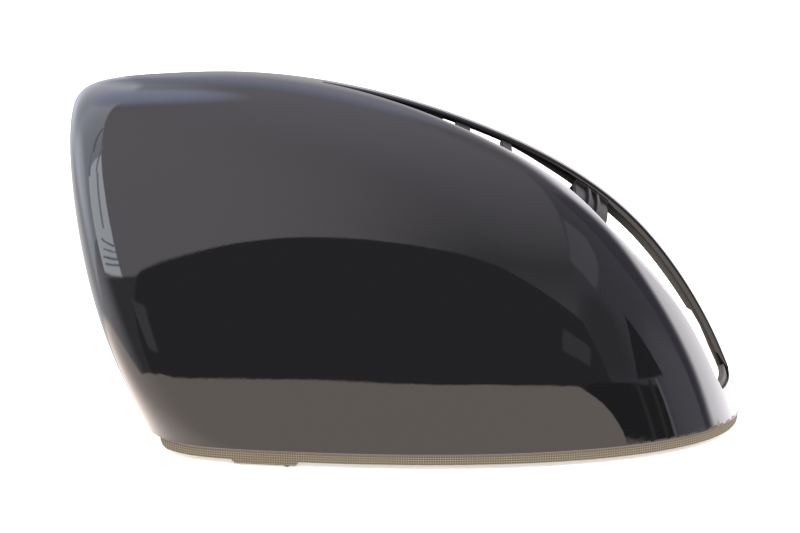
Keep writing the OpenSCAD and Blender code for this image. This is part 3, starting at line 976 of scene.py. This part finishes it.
class COVER_OT_slot(bpy.types.Operator):
    """Builds the flange, the ledge, the webs and the clip plate of the slot"""

    bl_idname = "cover.slot"
    bl_label = "Slot edges and webs"

    def execute(self, context):
        bowl, slot = bowl_now(), context.scene.cover_slot
        settle(slot_edges(bowl, slot, finish("lacquer"), finish("bare")))
        settle(slot_webs(bowl, slot, finish("lacquer"), finish("bare")))
        return {"FINISHED"}


class COVER_OT_fixings(bpy.types.Operator):
    """Builds the snap hooks, locating pins and screw bosses"""

    bl_idname = "cover.fixings"
    bl_label = "Hooks, pins and bosses"

    def execute(self, context):
        bowl, fixings = bowl_now(), context.scene.cover_fixings
        settle(snap_hooks(bowl, fixings, finish("inner")))
        settle(posts(bowl, fixings, finish("inner")))
        return {"FINISHED"}


class COVER_OT_stage(bpy.types.Operator):
    """Builds the floor, the studio light and the camera"""

    bl_idname = "cover.stage"
    bl_label = "Floor, light and camera"

    def execute(self, context):
        look = context.scene.cover_look
        floor = finish_mesh("floor", [(-4, -4, 0), (4, -4, 0), (4, 4, 0), (-4, 4, 0)], [(0, 1, 2, 3)],
                            materials=(pale_floor(look),))
        # The room below has its own floor, which the gloss mirrors in place of this one
        floor.visible_glossy = False
        studio_world()
        camera_at_photo(context.scene)
        context.scene.view_settings.view_transform = "Standard"
        return {"FINISHED"}


# Strength of the even dome that lights the scene
DOME = 2.8
# The room that the lacquer mirrors. A patch is (azimuth, elevation, radius) for a round one or its corners as
# (azimuth, elevation), then the width of its soft edge, all in degrees, and its light; later ones lie on top.
CEILING = ((-90, -89, (0.72, 0.69, 0.76)), (14.5, 34.8, (0.46, 0.44, 0.48)), (34.8, 45, (0.76, 0.725, 0.80)),
           (45, 60, (1.01, 0.96, 1.06)), (60, 70, (1.15, 1.1, 1.21)), (70, 90, (1.32, 1.25, 1.38)))
ROOM = (
    ((-52, 28, 42), 50, (1.5, 1.42, 1.5)),
    # dark band under the window
    (((-30, 14), (-41.3, 10), (-115, -17), (-115, -50), (-30, -50)), 1.5, (0.42, 0.4, 0.42)),
    ((-104, -8, 27), 54, (1.5, 1.47, 1.6)),
    # right-hand wall, its light panel and the lighter strip near the floor
    (((45, 16), (53, 29.3), (61.7, 36.8), (68.7, 41.6), (82, 46.5), (100, 49), (125, 47), (145, 40),
      (150, 0), (120, -25), (60, -25), (44, -10)), 1.5, (0.53, 0.51, 0.6)),
    (((63.3, 27.5), (62.5, 37.8), (70, 42), (82, 46), (100, 48), (96, 42), (82.5, 36),
      (73.3, 32)), 1.5, (0.84, 0.82, 0.94)),
    (((42, 0), (45, 17), (51, 25), (56, 28), (62, 26), (66, 20), (61, 4)), 11, (0.36, 0.35, 0.39)),
    ((84, 4, 11), 12, (0.78, 0.76, 0.88)),
    # dark half of the room behind the camera
    (((47, 17), (41, 22.6), (31, 30.1), (26.6, 32.6), (17.1, 34), (8.2, 33.1), (-3.8, 30.2),
      (-14.2, 26.9), (-20.6, 23.8), (-26.3, 20.6), (-36, 12.3), (-42, -12), (0, -20),
      (50, -12)), 1, (0.24, 0.228, 0.245)),
    (((39, 1), (44, 3), (52, 3.6), (57.5, 4.4), (70, 6), (72, -12), (40, -12)), 0.8, (0.155, 0.145, 0.155)),
    (((59.8, 5), (62.7, 8.9), (70.6, 20.8), (75.5, 6.9)), 0.8, (0.17, 0.16, 0.18)),
    (((58, 4.2), (60, 4.4), (61, -9), (59, -9)), 0.6, (0.3, 0.28, 0.28)),
    (((65, 5.4), (67, 5.6), (67, -9), (65, -9)), 0.8, (0.28, 0.26, 0.26)),
    (((69.4, 6), (71, 6), (72.2, -9), (70.6, -9)), 0.5, (1.1, 1.05, 1.1)),
    (((37.9, 14.4), (45.6, 9.6), (42.7, 5.1), (35.1, 8)), 0.8, (0.5, 0.47, 0.5)),
    (((-38.9, 6), (-34.8, 6), (-32.8, -1.9), (-35.7, -2.2)), 0.8, (0.6, 0.57, 0.6)),
    # white backdrop on the right behind the cover, with its dark edge
    (((92, -8), (94.3, 5), (95, 20), (98, 29), (106, 37), (115, 41.5), (124, 43.5), (133, 42), (150, 0),
      (125, -40)), 2, (0.38, 0.36, 0.45)),
    (((98, -12), (101, 2), (103, 12), (108, 22), (114, 29), (122, 33), (131, 35), (140, 38), (148, 35.5),
      (156, 31), (165, 24), (176, 16), (-174, 5), (-174, -30), (125, -45)), 11, (5.4, 5.2, 5.4)),
    # left-hand window wall
    (((-41.3, 10), (-42.9, 14.4), (-45.9, 20), (-49.8, 26), (-57.5, 37.5), (-67, 47.9), (-82, 54.5),
      (-100, 58.3), (-125, 59.5), (-145, 56), (-158, 47.5), (-166, 36), (-169, 25), (-170, 0),
      (-168, -30), (-115, -17)), 1.2, (2.35, 2.45, 2.8)),
    ((-100, 12, 11), 24, (3.6, 3.75, 4.2)),
    ((-147, 25, 17), 24, (1.6, 1.66, 1.85)),
    ((-150, 51, 8), 14, (1.55, 1.7, 2.25)),
    (((-164, 22), (-168, 40), (180, 44), (165, 42), (166, 25), (180, 22)), 9, (0.66, 0.67, 0.86)),
    ((-138, -20, 20), 22, (1.15, 1.13, 1.15)),
    ((-177, -10, 26), 16, (0.93, 0.92, 0.97)),
    (((-41.3, 10), (-42.9, 14.4), (-45.9, 20), (-49.8, 26), (-57.5, 37.5), (-67, 47.9), (-82, 54.5),
      (-93, 57.5), (-84, 46), (-78, 30), (-80, 16), (-84, 4), (-71, -1)), 1, (4.6, 4.9, 5.3)),
    # lattice of the window
    (((-91.3, 55.7), (-76.9, 40.7), (-74.5, 42.2), (-90.2, 56.6)), 0.7, (1.3, 1.4, 1.6)),
    (((-77.8, 40.1), (-76.4, 26.1), (-72.3, 28.5), (-76.1, 41.2)), 0.7, (1.9, 2, 2.2)),
    (((-71.3, 48.9), (-65.1, 34.6), (-63.5, 35.4), (-70, 49.7)), 0.7, (1.8, 1.9, 2.1)),
    (((-64.3, 35), (-55, 17), (-52.5, 18), (-62.2, 36)), 0.7, (2.3, 2.4, 2.6)),
    (((-59.4, 12), (-45.4, 15.5), (-44.5, 16.2), (-57.8, 13.1)), 0.6, (1.2, 1.3, 1.5)),
    (((-58.8, 9.6), (-42.8, 14.9), (-42.8, 15.2), (-57.1, 10.7)), 0.6, (1.2, 1.3, 1.5)),
    (((-62.5, 6), (-42.7, 13.1), (-42.3, 13.8), (-60.2, 7.4)), 0.6, (1.2, 1.3, 1.5)),
    (((-61.5, 4.7), (-41.9, 12), (-41.5, 12.6), (-58.8, 6.3)), 0.6, (1.2, 1.3, 1.5)),
)
# The floor in the gloss: its light, what brightens it on the left, and where it shows
GROUND_TONE = (1.95, 1.7, 1.56)
GROUND_GLOW = (((-98, -30, 38), 64, (2.6, 2.27, 2.06)), ((0, -90, 38), 20, (5.2, 4.8, 4.5)))
GROUND = (
    ((0, -90, 70.5), 2),
    (((-66, -20), (-34, -6), (-27, -5), (-16, -4.4), (-16, -50), (-66, -50)), 0.6),
    (((-24, -5.2), (-1, -1.5), (6, -1.5), (24, -2.1), (24, -50), (-24, -50)), 0.6),
    (((18, -2.1), (37, 0.4), (39.2, -0.2), (42.3, -1.3), (44.3, -2.4), (46, -3.8), (47.6, -5.4),
      (47.6, -50), (18, -50)), 0.6),
    (((46.5, -5.8), (52.2, -4.8), (73, -2.1), (91, -1), (110, -1.5), (110, -50), (46.5, -50)), 0.6),
    (((100, -1.5), (135, -6), (165, -12), (165, -50), (100, -50)), 4),
)


def direction(azimuth, elevation):
    """Unit vector for degrees of azimuth, 0 toward the camera and growing to its right, and of elevation."""
    a, e = math.radians(azimuth), math.radians(elevation)
    return Vector((math.sin(a) * math.cos(e), -math.cos(a) * math.cos(e), math.sin(e)))


def patch_edges(place, soft):
    """Axis and two cosines for each edge of a patch, between which it fades in."""
    if not isinstance(place[0], tuple):
        far, near = math.radians(place[2] + soft / 2), math.radians(max(place[2] - soft / 2, 0))
        return [(direction(*place[:2]), math.cos(far), math.cos(near))]
    corners = [direction(*corner) for corner in place]
    middle = sum(corners, Vector())
    half = math.sin(math.radians(soft / 2))
    edges = []
    for one, other in zip(corners, corners[1:] + corners[:1]):
        axis = one.cross(other).normalized()
        edges.append((axis if axis.dot(middle) > 0 else -axis, -half, half))
    return edges


def paint(tree, ray, colour, patches):
    """Lays patches over a colour, one after another."""
    for place, soft, tone in patches:
        mask = 1.0
        for axis, low, high in patch_edges(place, soft):
            along = node(tree, "ShaderNodeVectorMath", {0: ray, 1: axis}, operation="DOT_PRODUCT")
            part = node(tree, "ShaderNodeMapRange",
                        {"Value": along.outputs["Value"], "From Min": low, "From Max": high},
                        interpolation_type="SMOOTHSTEP")
            mask = node(tree, "ShaderNodeMath", {0: mask, 1: part.outputs[0]}, operation="MULTIPLY").outputs[0]
        colour = node(tree, "ShaderNodeMix", {"Factor": mask, 6: colour, 7: (*tone, 1)}, data_type="RGBA").outputs[2]
    return colour


def studio_world():
    """White for the camera, an even soft dome as the light, and the room of the gloss in reflections."""
    world = bpy.data.worlds.new("studio")
    bpy.context.scene.world = world
    world.use_nodes = True
    tree = world.node_tree
    tree.nodes.clear()
    ray = node(tree, "ShaderNodeTexCoord").outputs["Generated"]
    height = node(tree, "ShaderNodeSeparateXYZ", {"Vector": ray}).outputs["Z"]
    ceiling = (1.0, 1.0, 1.0, 1)
    for low, high, tone in CEILING:
        share = node(tree, "ShaderNodeMapRange", {
            "Value": height, "From Min": math.sin(math.radians(low)), "From Max": math.sin(math.radians(high))})
        ceiling = node(tree, "ShaderNodeMix", {"Factor": share.outputs[0], 6: ceiling, 7: (*tone, 1)},
                       data_type="RGBA").outputs[2]
    room = paint(tree, ray, ceiling, ROOM)
    ground = paint(tree, ray, (*GROUND_TONE, 1), GROUND_GLOW)
    where = paint(tree, ray, (0, 0, 0, 1), [(place, soft, (1, 1, 1)) for place, soft in GROUND])
    mirrored = node(tree, "ShaderNodeMix", {"Factor": where, 6: room, 7: ground}, data_type="RGBA")
    backgrounds = [node(tree, "ShaderNodeBackground", {"Color": colour, "Strength": strength}).outputs[0]
                   for colour, strength in (((1, 0.98, 0.96, 1), DOME), (mirrored.outputs[2], 1.0), ((1, 1, 1, 1), 1.0))]
    path = node(tree, "ShaderNodeLightPath")
    light = node(tree, "ShaderNodeMixShader",
                 {0: path.outputs["Is Glossy Ray"], 1: backgrounds[0], 2: backgrounds[1]})
    seen = node(tree, "ShaderNodeMixShader", {0: path.outputs["Is Camera Ray"], 1: light.outputs[0], 2: backgrounds[2]})
    node(tree, "ShaderNodeOutputWorld", {"Surface": seen.outputs[0]})


def camera_at_photo(scene):
    """100 mm lens, 12 degrees above the level, as the photograph was taken."""
    cam = bpy.data.cameras.new("photo_camera")
    cam.lens, cam.sensor_width = 100, 36
    aim, distance, up = Vector((-0.00365, -0.0125, 0.06671)), 0.7826, math.radians(12)
    obj = bpy.data.objects.new("photo_camera", cam)
    obj.location = aim + distance * Vector((0, -math.cos(up), math.sin(up)))
    obj.rotation_euler = (math.pi / 2 - up, 0, 0)
    scene.collection.objects.link(obj)
    scene.camera = obj


class COVER_PT_panel(bpy.types.Panel):
    """Lists the sizes and the pieces of the cover"""

    bl_idname = "COVER_PT_panel"
    bl_label = "Mirror cover"
    bl_space_type = "VIEW_3D"
    bl_region_type = "UI"
    bl_category = "Mirror cover"

    def draw(self, context):
        scene = context.scene
        for group in (scene.cover_body, scene.cover_slot, scene.cover_fixings, scene.cover_look):
            box = self.layout.box()
            for key in group.__annotations__:
                box.prop(group, key)
        for op in STEPS:
            self.layout.operator(op.bl_idname)


GROUPS = {"cover_body": COVER_PG_body, "cover_slot": COVER_PG_slot, "cover_fixings": COVER_PG_fixings,
          "cover_look": COVER_PG_look}
STEPS = (COVER_OT_shell, COVER_OT_lip, COVER_OT_slot, COVER_OT_fixings, COVER_OT_stage)
CLASSES = (*GROUPS.values(), *STEPS, COVER_PT_panel)


def register():
    for c in CLASSES:
        bpy.utils.register_class(c)
    for name, group in GROUPS.items():
        setattr(bpy.types.Scene, name, PointerProperty(type=group))


def unregister():
    for name in GROUPS:
        delattr(bpy.types.Scene, name)
    for c in reversed(CLASSES):
        bpy.utils.unregister_class(c)


def main():
    register()
    bpy.ops.cover.stage()
    bpy.ops.cover.shell()
    bpy.ops.cover.lip()
    bpy.ops.cover.slot()
    bpy.ops.cover.fixings()
    bpy.context.view_layer.update()


if __name__ == "__main__":
    main()
